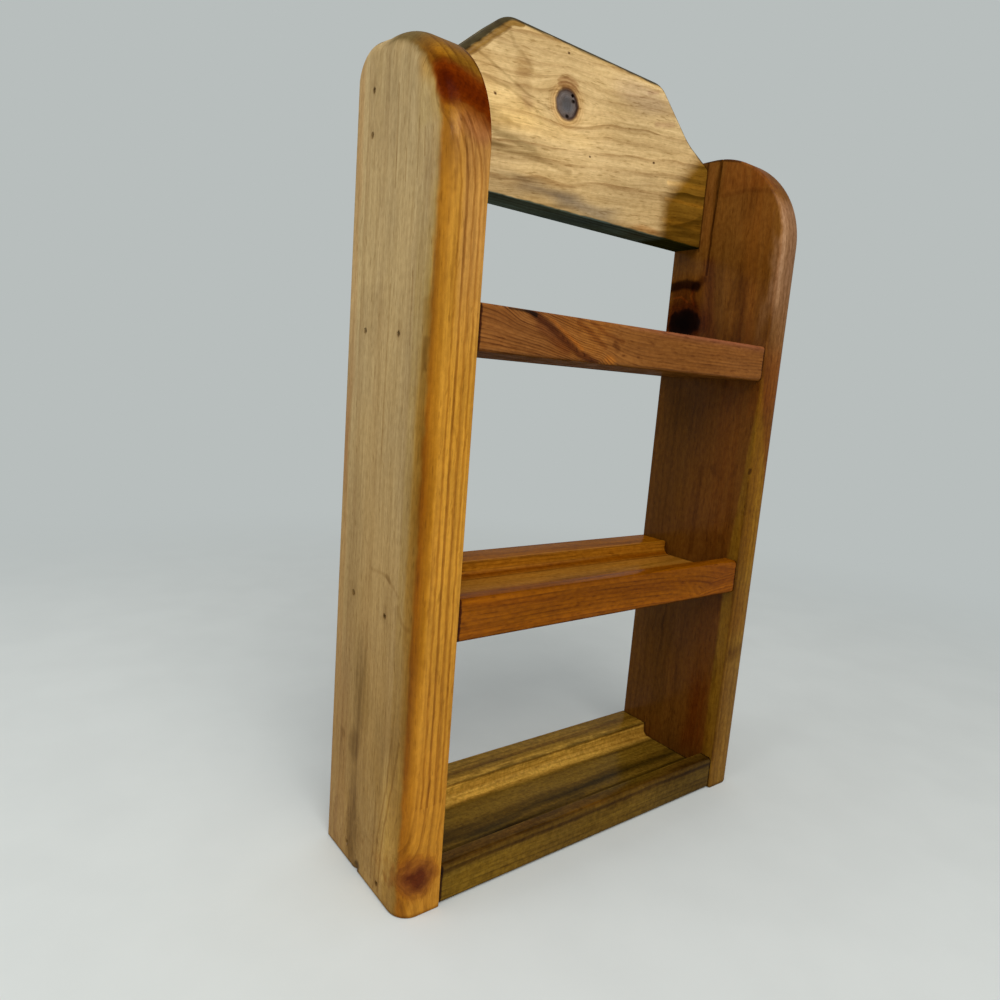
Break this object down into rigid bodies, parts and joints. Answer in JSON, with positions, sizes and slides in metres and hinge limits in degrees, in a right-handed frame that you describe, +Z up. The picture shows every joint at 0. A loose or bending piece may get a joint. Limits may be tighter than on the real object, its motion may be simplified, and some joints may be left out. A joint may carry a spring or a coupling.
{
  "type": "wall-mounted spice rack",
  "caption": "Small open wooden spice rack for a wall: plain round-topped side boards, grooved jar shelves and a shouldered header board with hidden keyhole hangers.",
  "frame": {"origin": "under the middle of the rack, on the plane of its base", "axes": "+Z up along the sides, +Y from the front towards the wall, +X to the right seen from the front"},
  "size_m": [0.2364, 0.074, 0.4015],
  "materials": {
    "left_side_wood": "oiled and varnished pine, satin",
    "right_side_wood": "oiled and varnished pine, satin",
    "header_wood": "oiled and varnished pine, satin",
    "upper_shelf_wood": "oiled and varnished pine, satin",
    "middle_shelf_wood": "oiled and varnished pine, satin",
    "bottom_shelf_wood": "oiled and varnished pine, satin",
    "nail_steel": "bright, dulled",
    "hanger_steel": "zinc plated",
    "screw_steel": "zinc plated"
  },
  "bodies": {
    "root": {"left_side_board": "left_side_wood", "right_side_board": "right_side_wood", "header_board": "header_wood", "upper_shelf": "upper_shelf_wood", "middle_shelf": "middle_shelf_wood", "bottom_shelf": "bottom_shelf_wood", "left_bottom_shelf_front_nail": "nail_steel", "left_bottom_shelf_back_nail": "nail_steel", "left_middle_shelf_front_nail": "nail_steel", "left_middle_shelf_back_nail": "nail_steel", "left_upper_shelf_front_nail": "nail_steel", "left_upper_shelf_back_nail": "nail_steel", "left_header_lower_nail": "nail_steel", "left_header_upper_nail": "nail_steel", "right_bottom_shelf_front_nail": "nail_steel", "right_bottom_shelf_back_nail": "nail_steel", "right_middle_shelf_front_nail": "nail_steel", "right_middle_shelf_back_nail": "nail_steel", "right_upper_shelf_front_nail": "nail_steel", "right_upper_shelf_back_nail": "nail_steel", "right_header_lower_nail": "nail_steel", "right_header_upper_nail": "nail_steel", "left_hanger_plate": "hanger_steel", "right_hanger_plate": "hanger_steel", "left_hanger_lower_screw": "screw_steel", "left_hanger_upper_screw": "screw_steel", "right_hanger_lower_screw": "screw_steel", "right_hanger_upper_screw": "screw_steel"}
  },
  "joints": []
}
